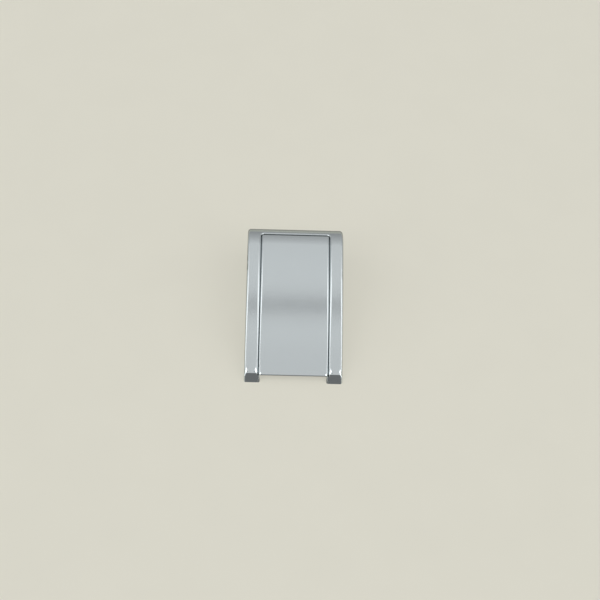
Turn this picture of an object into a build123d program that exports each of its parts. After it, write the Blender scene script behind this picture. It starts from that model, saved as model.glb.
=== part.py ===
from build123d import *
from math import atan2, cos, degrees, hypot, radians, sin, sqrt, tan
import os

# A small furniture handle: a cast frame shaped like an upturned U, and a thin panel set flush
# between its legs. X runs across the handle, Y from its feet to its top end and Z out of the
# furniture. The origin lies midway between the two screws, on the back plane.

# overall sizes
width = 30.3  # over both legs
projection = 17.0  # from the back plane to the crown of the face
screw_spacing = 32.0
lower_margin = 10.0  # from the lower screw to the lower end
upper_margin = 8.8  # from the upper screw to the top end

# the face, seen from the side
face_radius = 180.0  # slow curve from the feet to the roll
roll_radius = 8.0  # the top end turning towards the furniture
lip_drop = 1.5  # straight stretch after the roll
foot_height = 2.45  # lower edge of the face above the back plane
end_slant = 36.0  # degrees that the lower ends lean back from upright

# the frame
leg_width = 4.25
top_bar = 5.6  # seen from the front
frame_depth = 3.2  # square to the face
foot_length = 7.5  # along the back plane
foot_blend = 1.5  # hollow curve where a leg rises from its foot
floor_thickness = 1.4  # recess floor under the panel
floor_setback = 4.0  # floor behind the lower end
floor_lap = 1.4  # how far the floor runs into the legs and the top bar
outer_round = 0.95  # rounding of the long outer edges
inner_round = 0.5  # rounding of the recess edges and the slanted lower ends

# the panel
panel_thickness = 1.1
panel_corner = 0.65
panel_round = 0.5
panel_overhang = 0.5  # along the face, from the slanted lower ends to the panel's square cut
side_gap = 0.35  # seam beside the panel
top_gap = 0.35  # seam over the panel
bed_clearance = 0.05  # bonding film between panel and floor

# pegs that locate the panel
peg_radius = 1.0
peg_clearance = 0.05
peg_offset = 6.5  # from the middle of the handle
peg_place = 0.0  # along Y
peg_stand = 0.2  # staked ends stand behind the floor

# the screw bosses
boss_radius = 4.0  # at the back plane
boss_draft = 1.5  # degrees
thread_radius = 1.65  # core of the screw thread
upper_thread = 9.0  # depth
lower_thread = 3.9
mouth_bevel = 0.35

# places that follow from those sizes
lower_end = -screw_spacing / 2 - lower_margin
top_end = screw_spacing / 2 + upper_margin
face_start = lower_end + foot_height * tan(radians(end_slant))
lip_end = projection - roll_radius - lip_drop
recess_end = top_end - top_bar
recess_half = width / 2 - leg_width
panel_half = recess_half - side_gap
floor_top = panel_thickness + bed_clearance
floor_back = floor_top + floor_thickness
reach = 2 * (width + projection + screw_spacing)  # clear of everything
run_out = degrees(lower_margin / face_radius)  # face line carried on past the lower end
near = 0.001  # an edge this close to a surface lies in it


def circle_centre(first, first_radius, second, second_radius):
    """Centre below two points that lies at the given distance from each."""
    dy, dz = second[0] - first[0], second[1] - first[1]
    apart = hypot(dy, dz)
    along = (first_radius**2 - second_radius**2 + apart**2) / (2 * apart)
    down = sqrt(first_radius**2 - along**2)
    return (
        first[0] + (along * dy + down * dz) / apart,
        first[1] + (along * dz - down * dy) / apart,
    )


roll_centre = (top_end - roll_radius, projection - roll_radius)
face_centre = circle_centre(
    (face_start, foot_height), face_radius, roll_centre, face_radius - roll_radius
)


def bearing(point):
    """Direction of a side view point from the face's centre, in degrees from the Y axis."""
    return degrees(atan2(point[1] - face_centre[1], point[0] - face_centre[0]))


def face_height(y, depth=0.0):
    """Height of the slow curve at a place along Y, at a depth under the face."""
    return face_centre[1] + sqrt((face_radius - depth) ** 2 - (y - face_centre[0]) ** 2)


def behind(depth):
    """Side view of everything behind a line that keeps this depth under the face."""
    start = bearing((face_start, foot_height)) + run_out
    turn = bearing(roll_centre)
    slow = CenterArc(face_centre, face_radius - depth, start, turn - start)
    roll = CenterArc(roll_centre, roll_radius - depth, turn, -turn)
    back = Polyline(roll @ 1, (top_end - depth, -reach), ((slow @ 0).X, -reach), slow @ 0)
    return make_face(slow + roll + back)


def side_region(*corners):
    """Side view polygon from (y, z) corners."""
    return make_face(Polyline(*corners, close=True))


def across(region, half_width):
    """Carry a side view region over the width, the same on both sides of the middle."""
    return extrude(Plane.YZ * region, amount=half_width, both=True)


def plan_block(half_width, end, corner):
    """Upright block up to a place along Y, with its two corners there rounded."""
    outline = Rectangle(2 * half_width, end + reach, align=(Align.CENTER, Align.MAX))
    far_corners = outline.vertices().group_by(Axis.Y)[-1]
    return extrude(Pos(0, end) * fillet(far_corners, corner), amount=reach, both=True)


def plan_strip(start, end, half_width):
    """Upright block between two places along Y."""
    outline = Rectangle(2 * half_width, end - start, align=(Align.CENTER, Align.MIN))
    return extrude(Pos(0, start) * outline, amount=reach, both=True)


def handle_space():
    """Side view of the space over the back plane and behind the slanted lower ends."""
    run = reach * tan(radians(end_slant))
    return side_region((lower_end, 0), (lower_end + run, reach), (2 * reach, reach), (2 * reach, 0))


def panel_space():
    """Side view of the space beyond a cut square to the face, where the panel ends."""
    turn = radians(bearing((face_start, foot_height))) + panel_overhang / face_radius
    far = (
        face_centre[0] + 2 * face_radius * cos(turn),
        face_centre[1] + 2 * face_radius * sin(turn),
    )
    return side_region(face_centre, far, (2 * reach, far[1]), (2 * reach, face_centre[1]))


def leg_profile():
    """Side view of a leg with its foot, and of the roll with its lip."""
    foot_end = lower_end + foot_length
    foot = behind(0) & side_region(
        (lower_end - reach, 0), (foot_end, 0), (foot_end, reach), (lower_end - reach, reach)
    )
    under_lip = side_region(
        (roll_centre[0], -reach), (reach, -reach), (reach, lip_end), (roll_centre[0], lip_end)
    )
    profile = (behind(0) - behind(frame_depth) - under_lip + foot) & handle_space()
    hollow = (foot_end, face_height(foot_end, frame_depth), 0)
    return fillet(profile.vertices().sort_by_distance(hollow)[0], foot_blend)


def boss(y):
    """Tapered post from the back plane up into the recess floor."""
    post = extrude(Pos(0, y) * Circle(boss_radius), amount=projection, taper=boss_draft)
    return post & across(behind(floor_top + floor_thickness / 2), width)


def screw_hole(y, depth):
    """Core of a blind threaded hole, with a bevelled mouth in the back plane."""
    upright = (Align.CENTER, Align.CENTER, Align.MIN)
    mouth = Cone(thread_radius + mouth_bevel, thread_radius, mouth_bevel, align=upright)
    return Pos(0, y) * (Cylinder(thread_radius, depth, align=upright) + mouth)


def pegs(radius):
    """Two upright pins beside the middle of the handle, cut level just behind the floor."""
    back = face_height(peg_place - peg_radius, floor_back) - peg_stand
    front = face_height(peg_place, panel_thickness / 2)
    pin = Cylinder(radius, front - back, align=(Align.CENTER, Align.CENTER, Align.MIN))
    return [Pos(side * peg_offset, peg_place, back) * pin for side in (-1, 1)]


def face_depth(point):
    """Distance of a point behind the face, along the slow curve and the roll."""
    slow = face_radius - hypot(point.Y - face_centre[0], point.Z - face_centre[1])
    roll = roll_radius - hypot(point.Y - roll_centre[0], point.Z - roll_centre[1])
    slow_turn = (point.Y - face_centre[0]) * (roll_centre[1] - face_centre[1]) < (
        point.Z - face_centre[1]
    ) * (roll_centre[0] - face_centre[0])
    if point.Z < roll_centre[1] and point.Y > roll_centre[0]:
        return top_end - point.Y
    return slow if slow_turn else roll


def end_depth(point):
    """Distance of a point behind the slanted plane of the lower ends."""
    slant = radians(end_slant)
    return (point.Y - lower_end - point.Z * tan(slant)) * cos(slant)


def lies_in(edge, distance):
    """True where a distance function is nought along the whole edge."""
    return all(abs(distance(edge @ part)) < near for part in (0, 0.5, 1))


def in_face(edge):
    """True for an edge that lies in the face."""
    return lies_in(edge, face_depth)


def in_end(edge):
    """True for an edge of the lower ends that rises from the back plane."""
    return (edge @ 0.5).Z > near and lies_in(edge, end_depth)


def in_flank(edge):
    """True for an edge that lies in one of the two outer sides."""
    return lies_in(edge, lambda point: abs(point.X) - width / 2)


def round_recess(edge):
    """True for an edge no further from the middle than the walls of the recess."""
    return all(abs((edge @ part).X) < recess_half + near for part in (0, 0.5, 1))


def make_frame():
    """Casting with two legs, top bar, recess floor and screw bosses."""
    body = across(leg_profile(), width / 2)
    body -= plan_block(recess_half, recess_end, panel_corner + side_gap)
    body = fillet(body.edges().filter_by(in_face).filter_by(in_flank), outer_round)
    recess_edges = body.edges().filter_by(in_face).filter_by(round_recess)
    body = fillet(recess_edges + body.edges().filter_by(in_end), inner_round)
    floor = across(behind(floor_top) - behind(floor_back), recess_half + floor_lap)
    floor &= plan_strip(lower_end + floor_setback, recess_end + floor_lap, width)
    lower, upper = -screw_spacing / 2, screw_spacing / 2
    body += floor
    body += boss(lower) + boss(upper)
    body -= screw_hole(lower, lower_thread) + screw_hole(upper, upper_thread)
    for hole in pegs(peg_radius + peg_clearance):
        body -= hole
    return body


def make_panel():
    """Thin plate that follows the face, with the pegs on its back."""
    plate = across((behind(0) - behind(panel_thickness)) & handle_space(), panel_half)
    plate &= plan_block(panel_half, recess_end - top_gap, panel_corner)
    plate = fillet(plate.edges().filter_by(in_face), panel_round)
    plate &= across(panel_space(), width)
    for pin in pegs(peg_radius):
        plate += pin
    return plate


frame = make_frame()
insert_panel = make_panel()

os.makedirs("parts", exist_ok=True)
export_step(frame, "parts/frame.step")
export_step(insert_panel, "parts/insert_panel.step")
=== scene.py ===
from collections import namedtuple

import bpy
import numpy as np
from mathutils import Matrix, Vector


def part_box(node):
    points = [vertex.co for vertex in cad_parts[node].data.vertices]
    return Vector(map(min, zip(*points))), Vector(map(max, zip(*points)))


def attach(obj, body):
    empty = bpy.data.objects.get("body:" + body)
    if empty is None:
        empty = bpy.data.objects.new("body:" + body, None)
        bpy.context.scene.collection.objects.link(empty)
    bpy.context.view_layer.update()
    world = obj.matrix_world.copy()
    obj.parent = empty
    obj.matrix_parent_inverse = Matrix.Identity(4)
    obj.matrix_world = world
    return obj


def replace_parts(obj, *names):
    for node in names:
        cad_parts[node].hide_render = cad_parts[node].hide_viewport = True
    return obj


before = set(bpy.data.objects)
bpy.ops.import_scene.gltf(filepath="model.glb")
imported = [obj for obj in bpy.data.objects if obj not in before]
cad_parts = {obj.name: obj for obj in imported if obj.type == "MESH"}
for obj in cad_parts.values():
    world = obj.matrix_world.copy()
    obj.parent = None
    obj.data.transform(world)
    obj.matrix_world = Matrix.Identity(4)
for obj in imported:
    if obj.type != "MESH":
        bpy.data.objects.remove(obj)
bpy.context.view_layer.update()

MM = 0.001


# the handle's sizes, as in its solids

frame_low, frame_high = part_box("frame")
panel_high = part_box("insert_panel")[1]
face_radius = 180 * MM  # slow curve from the feet to the roll
roll_radius = 8 * MM  # the top end turning towards the furniture
foot_height = 2.45 * MM  # lower edge of the face above the back plane
end_slant = np.radians(36)  # how far the lower ends lean back from upright
top_bar = 5.6 * MM  # seen from the front
side_gap = 0.35 * MM  # seam beside the panel
top_gap = 0.35 * MM  # seam over the panel
floor_thickness = 1.4 * MM
floor_setback = 4 * MM  # floor behind the lower end
panel_thickness = 1.1 * MM
panel_corner = 0.65 * MM
panel_overhang = 0.5 * MM  # from the slanted lower ends to the panel's square cut
bed_clearance = 0.05 * MM  # bonding film between panel and floor
peg_radius = 1 * MM
peg_offset = 6.5 * MM  # from the middle of the handle
peg_place = 0.0  # along Y
peg_stand = 0.2 * MM  # staked ends stand behind the floor
outer_round = 0.95 * MM
inner_round = 0.5 * MM
panel_round = 0.5 * MM
screw_spacing = 32 * MM
bore_radius = 1.65 * MM  # core of the screw thread

# sizes that the solids don't have

seam = 0.2 * MM  # beside the panel as it is seen
ledge_width = 0.6 * MM  # from the recess's wall inwards
thread_pitch = 0.7 * MM
sharp_angle = np.radians(30)  # steeper edges are seen as sharp

# places that follow from those sizes

half_width = frame_high.x
recess_half = panel_high.x + side_gap
panel_half = recess_half - seam
recess_end = frame_high.y - top_bar
floor_top = panel_thickness + bed_clearance
floor_back = floor_top + floor_thickness
roll_centre = np.array([frame_high.y - roll_radius, frame_high.z - roll_radius])
face_start = np.array([frame_low.y + foot_height * np.tan(end_slant), foot_height])


def circle_centre(first, first_radius, second, second_radius):
    """Centre below two points that lies at the given distance from each."""
    step = second - first
    apart = np.hypot(*step)
    along = (first_radius**2 - second_radius**2 + apart**2) / (2 * apart)
    down = np.sqrt(first_radius**2 - along**2)
    return first + (along * step + down * np.array([step[1], -step[0]])) / apart


face_centre = circle_centre(face_start, face_radius, roll_centre, face_radius - roll_radius)
towards_roll = (roll_centre - face_centre) / np.hypot(*(roll_centre - face_centre))
roll_start = face_centre + face_radius * towards_roll

# bearings are angles from the Y axis towards Z, seen from the face's centre
roll_bearing = np.arctan2(towards_roll[1], towards_roll[0])
end_bearing = np.arctan2(*(face_start - face_centre)[::-1])
cut_bearing = end_bearing + panel_overhang / face_radius
slow_length = face_radius * (cut_bearing - roll_bearing)
towards_cut = np.array([np.cos(cut_bearing), np.sin(cut_bearing)])
past_cut = np.array([np.sin(cut_bearing), -np.cos(cut_bearing)])  # square to the panel's cut


def face_height(y, depth):
    """Height of the slow curve at a place along Y, at a depth under the face."""
    return face_centre[1] + np.sqrt((face_radius - depth) ** 2 - (y - face_centre[0]) ** 2)


# node helpers

class Nodes:
    """Emptied node tree of a material or a world, and the steps that fill it.

    A step takes numbers, vectors and sockets, and gives back its result's socket.
    """

    def __init__(self, owner):
        owner.use_nodes = True
        self.tree = owner.node_tree
        self.tree.nodes.clear()

    def node(self, kind, inputs=(), **settings):
        """New node of a kind, whose inputs take the values given under their names or numbers."""
        node = self.tree.nodes.new(kind)
        for name, setting in settings.items():
            setattr(node, name, setting)
        for name, value in dict(inputs).items():
            if isinstance(value, bpy.types.NodeSocket):
                self.tree.links.new(value, node.inputs[name])
            else:
                node.inputs[name].default_value = value
        return node

    def calc(self, operation, *values):
        """One step with numbers."""
        return self.node("ShaderNodeMath", enumerate(values), operation=operation).outputs["Value"]

    def product(self, first, *others):
        """All the numbers multiplied."""
        for other in others:
            first = self.calc("MULTIPLY", first, other)
        return first

    def vector(self, operation, *values):
        """One step with vectors; a length and a dot product are numbers."""
        step = self.node("ShaderNodeVectorMath", enumerate(values), operation=operation)
        return step.outputs["Value" if operation in ("LENGTH", "DOT_PRODUCT") else "Vector"]

    def scaled(self, vector, factor):
        """A vector times a number."""
        inputs = {"Vector": vector, "Scale": factor}
        return self.node("ShaderNodeVectorMath", inputs, operation="SCALE").outputs["Vector"]

    def split(self, vector):
        """The parts X, Y and Z of a vector."""
        return self.node("ShaderNodeSeparateXYZ", {"Vector": vector}).outputs

    def joined(self, **parts):
        """Vector from parts named X, Y and Z, nought where none is given."""
        return self.node("ShaderNodeCombineXYZ", parts).outputs["Vector"]

    def spread(self, value, start=0.0, end=1.0, low=0.0, high=1.0, curve="LINEAR"):
        """Goes from low to high while a value goes from start to end, and no further."""
        inputs = {"Value": value, "From Min": start, "From Max": end, "To Min": low, "To Max": high}
        return self.node("ShaderNodeMapRange", inputs, interpolation_type=curve).outputs["Result"]

    def step_up(self, value, start, end):
        """Rises softly from 0 to 1 while a value goes from start to end."""
        return self.spread(value, start, end, curve="SMOOTHSTEP")

    def blend(self, share, first, second, kind="FLOAT"):
        """Goes from the first value to the second as the share goes from 0 to 1.

        The mix node has a pair of inputs and one output for each kind of value, in this order.
        """
        order = ("FLOAT", "VECTOR", "RGBA").index(kind)
        inputs = {0: share, 2 + 2 * order: first, 3 + 2 * order: second}
        return self.node("ShaderNodeMix", inputs, data_type=kind).outputs[order]

    def place(self):
        """Place of the point on its object."""
        return self.node("ShaderNodeTexCoord").outputs["Object"]

    def noise(self, place, scale, detail):
        """Soft noise from 0 to 1."""
        inputs = {"Vector": place, "Scale": scale, "Detail": detail}
        return self.node("ShaderNodeTexNoise", inputs).outputs["Fac"]

    def bump(self, skin, height, distance, strength):
        """Direction of a skin that a height lifts by up to the distance."""
        inputs = {"Normal": skin, "Height": height, "Distance": distance, "Strength": strength}
        return self.node("ShaderNodeBump", inputs).outputs["Normal"]

    def glow(self, colour):
        """Shader that gives off this colour."""
        return self.node("ShaderNodeEmission", {"Color": colour}).outputs["Emission"]

    def mix(self, share, first, second):
        """Shader that goes from the first to the second as the share goes from 0 to 1."""
        return self.node("ShaderNodeMixShader", {"Fac": share, 1: first, 2: second}).outputs["Shader"]

    def surface(self, shader):
        """The material shows this shader."""
        self.node("ShaderNodeOutputMaterial", {"Surface": shader})


# where a point lies on the handle

Spot = namedtuple("Spot", "depth outward axes across from_end")
Plane = namedtuple("Plane", "point direction")


def face_spot(nodes, place, end_plane):
    """How a point lies to the face.

    That is its depth under the face, the face's outward direction there, its place along each axis,
    its distance from the middle, and its distance behind the end plane.

    Up to the roll's start, depth and direction come from the slow curve's centre. Beyond it, they
    come from the roll's centre, and from the upright line under that centre.
    """
    side_view = nodes.vector("MULTIPLY", place, (0, 1, 1))
    from_slow = nodes.vector("SUBTRACT", side_view, (0, *face_centre))
    from_roll = nodes.vector("SUBTRACT", side_view, (0, *roll_centre))
    from_roll = nodes.vector("MAXIMUM", from_roll, (-1, -1, 0))
    axes = nodes.split(place)
    in_roll = nodes.calc("GREATER_THAN", axes["Y"], float(roll_start[0]))
    depths = [
        nodes.calc("SUBTRACT", radius, nodes.vector("LENGTH", arm))
        for arm, radius in ((from_slow, face_radius), (from_roll, roll_radius))
    ]
    arms = [nodes.vector("NORMALIZE", arm) for arm in (from_slow, from_roll)]
    to_point = nodes.vector("SUBTRACT", place, (0, *end_plane.point))
    return Spot(
        depth=nodes.blend(in_roll, *depths),
        outward=nodes.blend(in_roll, *arms, kind="VECTOR"),
        axes=axes,
        across=nodes.calc("ABSOLUTE", axes["X"]),
        from_end=nodes.vector("DOT_PRODUCT", to_point, (0, *end_plane.direction)),
    )


# A wall is upright and runs along Y, at a place from the middle. The metal is on one side of it, 1
# outside and -1 inside. The face rounds down to it with a radius, below the upper end. The test and
# its limit say which places from the middle belong to it.
Wall = namedtuple("Wall", "place metal_side radius upper_end test limit")

facet_slack = 0.03 * MM  # facets lie up to this far outside a wall
on_both = 0.001 * MM  # in the rounding, both parts of the skin's direction are over this
upper_fade = 0.3 * MM  # the skin comes in over this, below an upper end
clear_of_end = (0.65 * MM, 0.75 * MM)  # where the skin comes in, behind the slanted lower end
clear_of_corner = (0.10 * MM, 0.20 * MM)  # the same near the face
corner_reach = 1.0 * MM  # where a rounded edge starts to turn to the lower end
corner_widening = 0.8  # how much wider the rounding is at that end

# shares of the radius
skin_in = (0.72, 0.80)  # length of the skin's direction from which it counts
rounding_bonus = 0.30  # added to that length in the rounding itself
skin_depth = 1.6  # the skin counts down to this depth
near_face = (0.3, 0.6)  # outward part of the direction from which a point is near the face
corner_turn = (0.0, 0.30)  # sideways part over which the bend to the lower end comes in
corner_bend = 0.34  # part of the direction towards that end


def in_shares(shares, radius):
    """Shares of a radius as lengths."""
    return [share * radius for share in shares]


def wall_skin(nodes, spot, wall, near_end):
    """Direction of the face where it rounds down to a wall.

    With e the distance into the metal from the wall, d the depth under the face and r the radius, it
    is (r - e) across plus (r - d) outward, neither below nought. Near the lower end e is shortened,
    which widens the rounding, and the direction bends along the face towards that end. Beside it
    comes the share of it that counts: where it is nearly as long as r, not too deep, below the upper
    end and clear of the lower end.
    """
    radius = wall.radius
    into = nodes.product(nodes.calc("SUBTRACT", spot.across, wall.place), wall.metal_side)
    wider = nodes.calc("MULTIPLY_ADD", near_end, corner_widening, 1.0)
    sideways = nodes.calc("SUBTRACT", radius, nodes.calc("DIVIDE", into, wider))
    in_metal = nodes.calc("GREATER_THAN", into, -facet_slack)
    sideways = nodes.product(nodes.calc("MAXIMUM", sideways, 0.0), in_metal)
    upward = nodes.calc("MAXIMUM", nodes.calc("SUBTRACT", radius, spot.depth), 0.0)
    turned = nodes.product(sideways, nodes.calc("SIGN", spot.axes["X"]), -wall.metal_side)
    direction = nodes.vector("ADD", nodes.scaled(spot.outward, upward), nodes.joined(X=turned))

    in_round = nodes.calc("GREATER_THAN", nodes.calc("MINIMUM", sideways, upward), on_both)
    length = nodes.vector("LENGTH", direction)
    length = nodes.calc("ADD", length, nodes.product(in_round, rounding_bonus * radius))
    at_corner = nodes.product(
        nodes.step_up(spot.from_end, *clear_of_corner),
        nodes.step_up(upward, *in_shares(near_face, radius)),
    )
    counts = nodes.product(
        nodes.step_up(length, *in_shares(skin_in, radius)),
        nodes.calc("LESS_THAN", spot.depth, skin_depth * radius),
        nodes.step_up(spot.axes["Y"], wall.upper_end, wall.upper_end - upper_fade),
        nodes.calc("MAXIMUM", nodes.step_up(spot.from_end, *clear_of_end), at_corner),
        nodes.calc(wall.test, spot.across, wall.limit),
    )

    lean = nodes.split(spot.outward)
    endward = nodes.joined(Y=nodes.product(lean["Z"], -1.0), Z=lean["Y"])
    turning = nodes.step_up(sideways, *in_shares(corner_turn, radius))
    bend = nodes.product(near_end, turning, corner_bend * radius)
    direction = nodes.vector("ADD", direction, nodes.scaled(endward, bend))
    return nodes.vector("NORMALIZE", direction), counts


def rounded_skin(nodes, spot, walls):
    """Exact direction of the face with its rounded long edges, in place of the facets' own."""
    skin = nodes.node("ShaderNodeNewGeometry").outputs["Normal"]
    near_end = nodes.step_up(spot.from_end, corner_reach, 0.0)
    for wall in walls:
        exact, counts = wall_skin(nodes, spot, wall, near_end)
        skin = nodes.blend(counts, skin, exact, kind="VECTOR")
    return skin


hair = 0.01 * MM  # steps at the recess's edges are this wide
seam_shade_depths = (0.5 * MM, floor_top)  # depths between which the seam's walls turn from plated to dark unplated metal with painted shade
floor_middle = (2.0 * MM, 1.9 * MM)  # the recess ends at this depth, inside its floor
end_zone = (0.7 * MM, 0.5 * MM)  # what lies nearer than this to the slanted plane is a lower end
end_shade_fade = (0.35 * MM, -0.65 * MM)  # where the painted shade on the lower ends fades in, from the recess's wall


def shaded_seam_share(nodes, spot):
    """1 in the recess and the seam round the panel, where the metal is dark and dull; 0 elsewhere. The
    darkness is partly unplated metal and partly painted shade.

    It takes in the recess's walls at any depth, and the floor down to its middle. On the slanted
    lower ends it fades in towards the recess, and there it is painted shade.
    """
    # painted shade: the inner part of each slanted lower end darkens towards the recess
    shade_fading = nodes.step_up(spot.across, *[recess_half + place for place in end_shade_fade])
    in_recess = nodes.step_up(spot.across, recess_half + 2 * hair, recess_half + hair)
    in_recess = nodes.blend(nodes.step_up(spot.from_end, *end_zone), in_recess, shade_fading)
    on_wall = nodes.step_up(spot.across, recess_half - 3 * hair, recess_half - 2 * hair)
    return nodes.product(
        in_recess,
        nodes.step_up(spot.axes["Y"], recess_end + 2 * hair, recess_end + hair),
        nodes.step_up(spot.depth, *seam_shade_depths),
        nodes.calc("MAXIMUM", nodes.step_up(spot.depth, *floor_middle), on_wall),
    )


def thread_height(nodes, axes):
    """Screw thread in the two bores: 0 to 1 and back over one pitch, climbing once per turn."""
    bore_skin = 0.05 * MM
    screw = nodes.product(nodes.calc("SIGN", axes["Y"]), screw_spacing / 2)
    from_screw = nodes.calc("SUBTRACT", axes["Y"], screw)
    turn = nodes.calc("DIVIDE", nodes.calc("ARCTAN2", from_screw, axes["X"]), 2 * np.pi)
    climb = nodes.calc("SUBTRACT", nodes.calc("DIVIDE", axes["Z"], thread_pitch), turn)
    reach = nodes.vector("LENGTH", nodes.joined(X=axes["X"], Y=from_screw))
    in_bore = nodes.step_up(reach, bore_radius + 2 * bore_skin, bore_radius + bore_skin)
    return nodes.product(nodes.calc("PINGPONG", climb, 0.5), 2.0, in_bore)


# materials

def satin_chrome(name, end_plane, walls, threaded):
    """Satin chrome over unplated casting metal.

    The plating has a fine blasted grain, as bump and as tone, and slow patches of duller and brighter
    metal. In the seam round the panel it turns dark and dull, partly as unplated metal and partly as
    painted shade.
    """
    plating = np.array([0.635, 0.685, 0.70])
    # dark dull colour for the seam: unplated metal with painted shade
    bare_shaded_colour, bare_roughness = (0.17, 0.18, 0.185, 1.0), 0.6
    material = bpy.data.materials.new(name)
    nodes = Nodes(material)
    place = nodes.place()
    spot = face_spot(nodes, place, end_plane)
    # painted shade: the seam, the recess and the inner lower ends take the dark colour
    in_shaded_seam = shaded_seam_share(nodes, spot)

    grain = nodes.noise(place, scale=5500.0, detail=3.0)
    patches = nodes.noise(place, scale=140.0, detail=2.0)
    tone = nodes.spread(grain, start=0.35, end=0.65)
    darker, brighter = [(*(share * plating), 1.0) for share in (0.95, 1.03)]
    plated = nodes.blend(tone, darker, brighter, kind="RGBA")
    dullness = nodes.spread(patches, low=0.15, high=0.20)

    skin = rounded_skin(nodes, spot, walls)
    if threaded:
        height = thread_height(nodes, spot.axes)
        skin = nodes.bump(skin, height, distance=0.25 * MM, strength=1.0)
    skin = nodes.bump(skin, grain, distance=0.008 * MM, strength=0.35)

    metal = nodes.node("ShaderNodeBsdfPrincipled", {
        "Metallic": 1.0,
        "Specular Tint": (0.4, 0.4, 0.4, 1.0),
        # base colour darkened in the seam, as painted shade and unplated metal
        "Base Color": nodes.blend(in_shaded_seam, plated, bare_shaded_colour, kind="RGBA"),
        "Roughness": nodes.blend(in_shaded_seam, dullness, bare_roughness),
        "Normal": skin,
    })
    nodes.surface(metal.outputs["BSDF"])
    return material


# radii that the lit skin turns with, against the roundings in the solids
outer_shine = 0.88 * outer_round
inner_shine = 1.65 * inner_round
panel_shine = 1.4 * panel_round

middle_of_leg = (recess_half + half_width) / 2
clear_of_top = frame_high.y + half_width  # nothing reaches this
recess_turn = recess_end - panel_corner - side_gap  # where the recess's corners start
panel_turn = panel_high.y - panel_corner
frame_metal = satin_chrome(
    "satin chrome frame",
    end_plane=Plane((frame_low.y, 0.0), (np.cos(end_slant), -np.sin(end_slant))),
    walls=[
        Wall(half_width, -1, outer_shine, clear_of_top, "GREATER_THAN", middle_of_leg),
        Wall(recess_half, 1, inner_shine, recess_turn, "LESS_THAN", middle_of_leg),
    ],
    threaded=True,
)
panel_metal = satin_chrome(
    "satin chrome panel",
    end_plane=Plane(face_centre, past_cut),
    walls=[Wall(panel_half, -1, panel_shine, panel_turn, "LESS_THAN", half_width)],
    threaded=False,
)


def repaint(node, material):
    """A kept CAD node takes this material all over."""
    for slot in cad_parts[node].material_slots:
        slot.material = material


repaint("frame", frame_metal)


# pieces

def new_piece(name, points, faces, material):
    """Object from points and faces, in one material."""
    mesh = bpy.data.meshes.new(name)
    mesh.from_pydata(points.tolist(), [], faces)
    mesh.materials.append(material)
    piece = bpy.data.objects.new(name, mesh)
    bpy.context.scene.collection.objects.link(piece)
    return piece


def metal_piece(name, points, faces, material):
    """Piece of the handle, smooth but for its sharp edges."""
    piece = new_piece(name, points, faces, material)
    piece.data.polygons.foreach_set("use_smooth", np.ones(len(faces), bool))
    piece.data.set_sharp_from_angle(angle=sharp_angle)
    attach(piece, "root")
    return piece


def side_walls(low, high):
    """Faces between two closed lines of points, which run the same way round."""
    return np.stack([low, np.roll(low, -1), np.roll(high, -1), high], -1)


def face_place(x, along, depth):
    """Point at a distance along the face from the panel's lower end, and at a depth under the face.

    The bearing falls by the distance over the radius, first round the slow curve's centre and then
    round the roll's; the point lies at that centre plus (radius - depth) along the bearing.
    """
    slow = along < slow_length
    bearing = np.where(
        slow, cut_bearing - along / face_radius, roll_bearing - (along - slow_length) / roll_radius
    )
    radius = np.where(slow, face_radius, roll_radius) - depth
    y = np.where(slow, face_centre[0], roll_centre[0]) + radius * np.cos(bearing)
    z = np.where(slow, face_centre[1], roll_centre[1]) + radius * np.sin(bearing)
    return np.stack([x, y, z], -1)


def shell_faces(rows, columns):
    """Faces of a plate: a grid above, the same grid below, and the wall between their outlines."""
    count = rows * columns
    numbers = np.arange(count).reshape(rows, columns)
    quads = np.stack([numbers[:-1, :-1], numbers[:-1, 1:], numbers[1:, 1:], numbers[1:, :-1]], -1)
    upper = quads.reshape(-1, 4)
    lower = upper[:, ::-1] + count
    outline = np.concatenate(
        [numbers[0, :-1], numbers[:-1, -1], numbers[-1, :0:-1], numbers[:0:-1, 0]]
    )
    ahead = np.roll(outline, -1)
    wall = np.stack([outline, outline + count, ahead + count, ahead], -1)
    return np.concatenate([upper, lower, wall]).tolist()


def pin(x, y, low, high, radius, sides=40):
    """Upright round pin: two circles of points, with a wall between them and two flat ends."""
    turn = 2 * np.pi * np.arange(sides) / sides
    circle = np.stack([x + radius * np.cos(turn), y + radius * np.sin(turn)], -1)
    points = np.concatenate(
        [np.column_stack([circle, np.full(sides, height)]) for height in (low, high)]
    )
    first = np.arange(sides)
    walls = side_walls(first, first + sides).tolist()
    return points, walls + [first[::-1].tolist(), (first + sides).tolist()]


def quarter_turn(count):
    """Numbers from 0 to 1 that go as 1 - cos of an angle, over a quarter turn in equal steps."""
    return 1 - np.cos(np.linspace(0, np.pi / 2, count))


def panel_grid(length):
    """Grid over the panel: places across it and along it, row by row from its lower end.

    At a distance along the panel its half width is w, and past the start of its upper corners
    w - c + sqrt(c^2 - p^2), with c the corner's radius and p the distance past that start. The rows
    are close over the overhang and in the corners, and the columns in the rounded edges.
    """
    corner_start = length - panel_corner
    close_stretch = 0.9 * MM
    close_rows, long_rows, corner_rows = 13, 90, 14
    edge_columns, middle_columns = 10, 15
    along = np.concatenate([
        np.linspace(0, close_stretch, close_rows)[:-1],
        np.linspace(close_stretch, corner_start, long_rows)[:-1],
        length - panel_corner * quarter_turn(corner_rows)[::-1],
    ])[:, None]
    past = np.maximum(along - corner_start, 0)
    half = panel_half - panel_corner + np.sqrt(np.maximum(panel_corner**2 - past**2, 0))
    edge = panel_round * quarter_turn(edge_columns)
    middle = (half - panel_round) * np.linspace(-1, 1, middle_columns)[1:-1]
    x = np.concatenate([-half + edge, middle, half - edge[::-1]], axis=1)
    return x, np.broadcast_to(along, x.shape)


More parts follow.
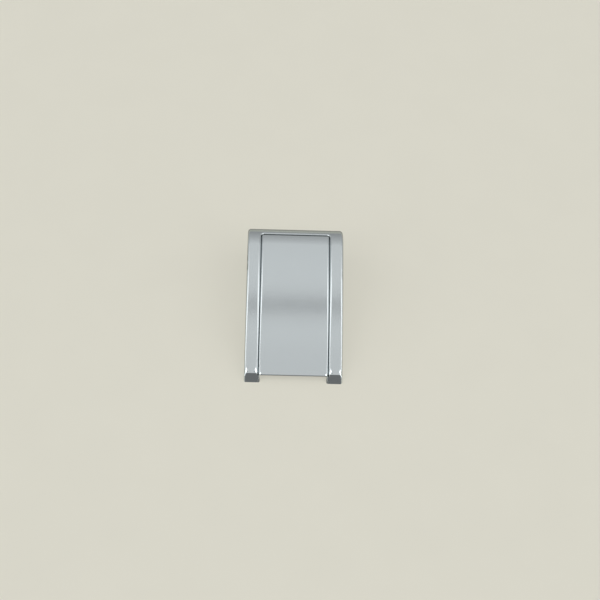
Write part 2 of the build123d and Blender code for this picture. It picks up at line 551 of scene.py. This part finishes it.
def panel_depth(x, along, length):
    """Depth of the panel's surface under the face.

    Where the distance t from the outline is less than the rounding r, the surface lies
    r - sqrt(r^2 - (r - t)^2) deep. Over the overhang it falls to the slant of the lower ends, by
    (u + m)^2 / 4m times that slope, and by u times it where u, the distance past the edge, is over m.
    """
    beyond = np.stack([np.abs(x) - panel_half, along - length]) + panel_corner
    t = panel_corner - np.hypot(*np.maximum(beyond, 0)) - np.minimum(beyond.max(0), 0)
    missing = np.clip(panel_round - t, 0, panel_round)
    slope = np.tan(np.pi - end_slant - end_bearing)
    m = panel_round * slope / 4
    u = panel_overhang - along
    fall = np.clip(u + m, 0, 2 * m) ** 2 / (4 * m) + np.maximum(u - m, 0)
    return panel_round - np.sqrt(panel_round**2 - missing**2) + slope * fall


def make_panel():
    """Panel with its pegs: a shell between its surface and its back, and two pins.

    The back lies at an even depth under the face, the panel's thickness.
    """
    upper_bearing = np.arccos((recess_end - top_gap - roll_centre[0]) / roll_radius)
    length = slow_length + roll_radius * (roll_bearing - upper_bearing)
    x, along = panel_grid(length)
    surface = face_place(x, along, panel_depth(x, along, length))
    back = face_place(x, along, np.full(x.shape, panel_thickness))
    points = [surface.reshape(-1, 3), back.reshape(-1, 3)]
    faces = shell_faces(*x.shape)

    low = face_height(peg_place - peg_radius, floor_back) - peg_stand
    high = face_height(peg_place, panel_thickness / 2)
    for side in (-1, 1):
        start = sum(len(group) for group in points)
        pin_points, pin_faces = pin(side * peg_offset, peg_place, low, high, peg_radius)
        points.append(pin_points)
        faces += [[start + corner for corner in face] for face in pin_faces]
    panel = metal_piece("panel", np.concatenate(points), faces, panel_metal)
    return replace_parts(panel, "insert_panel")


def make_ledge(side):
    """Ledge inside a foot, that the panel's lower corner rests on.

    In plan it is a strip with one rounded corner. From each plan point a line rises along the slant of
    the lower ends. It stops at the circle of the panel's back, where a quadratic has its root, or at
    the plane just before the panel's cut, whichever is higher.
    """
    behind_end = 0.005 * MM  # clear of the foot's own end and of the back plane
    before_cut = -0.02 * MM  # clear of the panel's cut
    rise = np.array([np.tan(end_slant), 1.0])
    back_radius = face_radius - floor_top
    kink = face_centre + back_radius * towards_cut + before_cut * past_cut
    kink_place = kink[0] - kink[1] * rise[0] - frame_low.y - behind_end

    inner = recess_half - ledge_width
    hidden = recess_half + inner_round
    far = floor_setback + inner_round
    corner = inner_round * quarter_turn(count=10)
    nose = np.stack([inner + corner[::-1], corner], -1)
    hidden_side = [[hidden, far], [hidden, kink_place], [hidden, 0.0]]
    plan = np.concatenate([hidden_side, nose, [[inner, kink_place], [inner, far]]])

    start = np.stack([plan[:, 1] + frame_low.y + behind_end, np.zeros(len(plan))], -1)
    arm = start - face_centre
    square, half_sum = rise @ rise, arm @ rise
    rest = (arm**2).sum(-1) - back_radius**2
    to_back = (-half_sum + np.sqrt(half_sum**2 - square * rest)) / square
    to_cut = (before_cut - arm @ past_cut) / (rise @ past_cut)
    levels = (np.full(len(plan), behind_end), np.maximum(to_back, to_cut))
    points = np.concatenate(
        [np.stack([side * plan[:, 0], start[:, 0] + rise[0] * z, z], -1) for z in levels]
    )

    count = len(plan)
    low = np.arange(count)
    toe = low[1:-1] + count
    bed = [count, count + 1, 2 * count - 2, 2 * count - 1]
    faces = side_walls(low, low + count).tolist() + [low[::-1].tolist(), toe.tolist(), bed]
    if side > 0:
        faces = [face[::-1] for face in faces]
    name = "right_ledge" if side > 0 else "left_ledge"
    return metal_piece(name, points, faces, frame_metal)


make_panel()
make_ledge(-1)
make_ledge(1)


# floor and tent

def stage_piece(name, points, faces, material):
    """Piece of the stage round the handle."""
    piece = new_piece(name, points, faces.tolist(), material)
    return piece


def make_floor(half_size, below, colour, plain_share):
    """Plain sheet of card just below the handle's back plane, clear when seen from under it.

    The plain share is how much of its colour is seen without light or shade. Metal mirrors all of it
    plain.
    """
    material = bpy.data.materials.new("card")
    nodes = Nodes(material)
    fibre = nodes.noise(nodes.place(), scale=60.0, detail=2.0)
    low, high = [(*(share * np.array(colour)), 1.0) for share in (0.985, 1.015)]
    tint = nodes.blend(fibre, low, high, kind="RGBA")
    card = nodes.node("ShaderNodeBsdfDiffuse", {"Color": tint}).outputs["BSDF"]
    seen = nodes.node("ShaderNodeLightPath").outputs
    mirrored = nodes.calc("MAXIMUM", seen["Is Glossy Ray"], seen["Is Transmission Ray"])
    straight = nodes.product(seen["Is Camera Ray"], plain_share)
    sheet = nodes.mix(nodes.calc("MAXIMUM", mirrored, straight), card, nodes.glow(tint))
    behind = nodes.node("ShaderNodeNewGeometry").outputs["Backfacing"]
    clear = nodes.node("ShaderNodeBsdfTransparent").outputs["BSDF"]
    nodes.surface(nodes.mix(nodes.product(seen["Is Camera Ray"], behind), sheet, clear))
    corners = half_size * np.array([[-1, -1, 0], [1, -1, 0], [1, 1, 0], [-1, 1, 0]])
    return stage_piece("floor", corners - [0, 0, below], np.array([[0, 1, 2, 3]]), material)


def brightness_ramp(nodes, lean, levels):
    """Brightness that follows a lean from -1 to 1, by a list of (lean, brightness) pairs.

    A lean has its place on the ramp at (1 + lean) / 2.
    """
    ramp = nodes.node("ShaderNodeValToRGB", {"Fac": nodes.calc("MULTIPLY_ADD", lean, 0.5, 0.5)})
    stops = ramp.color_ramp.elements
    for stop, (at, level) in zip([stops[0], stops[1]], [levels[0], levels[-1]]):
        stop.position, stop.color = (1 + at) / 2, (level, level, level, 1)
    for at, level in levels[1:-1]:
        stops.new((1 + at) / 2).color = (level, level, level, 1)
    return ramp.outputs["Color"]


def make_tent(radius, over, beside, beside_from):
    """Half globe of lit cloth over the handle.

    A point at azimuth a and height angle h lies at radius x (cos a cos h, sin a cos h, sin h).
    The brightness follows its lean along Y, from -1 in front to 1 behind: one list of (lean,
    brightness) pairs holds over the handle and the other beside it. The second takes over between
    two leans along X.
    """
    turns, rises = 96, 32
    a, h = np.meshgrid(np.linspace(0, 2 * np.pi, turns + 1), np.linspace(0, np.pi / 2, rises + 1))
    points = radius * np.stack([np.cos(a) * np.cos(h), np.sin(a) * np.cos(h), np.sin(h)], -1)
    row, column = np.meshgrid(np.arange(rises), np.arange(turns), indexing="ij")
    first = row * (turns + 1) + column
    faces = np.stack([first, first + turns + 1, first + turns + 2, first + 1], -1)

    material = bpy.data.materials.new("lit cloth")
    nodes = Nodes(material)
    lean = nodes.split(nodes.vector("NORMALIZE", nodes.place()))
    ramps = [brightness_ramp(nodes, lean["Y"], levels) for levels in (over, beside)]
    sideways = nodes.step_up(nodes.calc("ABSOLUTE", lean["X"]), *beside_from)
    nodes.surface(nodes.glow(nodes.blend(sideways, *ramps, kind="RGBA")))
    tent = stage_piece("tent", points.reshape(-1, 3), faces.reshape(-1, 4), material)
    tent.visible_camera = False
    return tent


def make_room(colour):
    """Plain room behind the tent."""
    room = bpy.data.worlds.new("room")
    bpy.context.scene.world = room
    nodes = Nodes(room)
    wall = nodes.node("ShaderNodeBackground", {"Color": (*colour, 1)}).outputs["Background"]
    nodes.node("ShaderNodeOutputWorld", {"Surface": wall})


card_colour = (0.730, 0.714, 0.622)
make_floor(half_size=2.0, below=0.02 * MM, colour=card_colour, plain_share=0.6)
make_room(card_colour)
make_tent(
    radius=1.9,
    over=[
        (-1.0, 0.20), (-0.75, 0.22), (-0.60, 0.74), (-0.30, 0.74), (-0.18, 0.83), (-0.115, 0.84),
        (-0.092, 0.12), (-0.074, 0.12), (-0.052, 0.84), (0.17, 0.78), (0.56, 0.60), (1.0, 0.42),
    ],
    beside=[
        (-1.0, 0.20), (-0.66, 0.20), (-0.58, 2.80), (-0.38, 2.80), (-0.28, 0.62), (-0.10, 0.75),
        (0.0, 1.60), (0.07, 2.05), (0.13, 1.55), (0.19, 0.85), (0.27, 0.60), (1.0, 0.42),
    ],
    beside_from=(0.30, 0.60),
)


# camera

def make_camera(target, distance, azimuth, tilt, roll, lens, film_width):
    """Camera at a distance from its target.

    The azimuth turns it round the handle, the tilt is from the vertical, and the roll turns the
    picture clockwise.
    """
    azimuth, tilt, roll = np.radians([azimuth, tilt, roll])
    back = Vector((np.sin(tilt) * np.sin(azimuth), -np.sin(tilt) * np.cos(azimuth), np.cos(tilt)))
    level = Vector((np.cos(azimuth), np.sin(azimuth), 0))
    upright = back.cross(level)
    right = level * np.cos(roll) + upright * np.sin(roll)
    up = upright * np.cos(roll) - level * np.sin(roll)
    data = bpy.data.cameras.new("camera")
    data.lens, data.sensor_width = lens, film_width
    camera = bpy.data.objects.new("camera", data)
    bpy.context.scene.collection.objects.link(camera)
    place = Matrix((right, up, back)).transposed().to_4x4()
    place.translation = Vector(target) + back * distance
    camera.matrix_world = place
    bpy.context.scene.camera = camera
    return camera


make_camera(
    target=(1.775 * MM, -0.2313 * MM, 8.0 * MM),
    distance=400 * MM,
    azimuth=-2.7142,
    tilt=35.3101,
    roll=3.607,
    lens=76.29,
    film_width=36.0,
)
bpy.context.scene.view_settings.view_transform = "Standard"
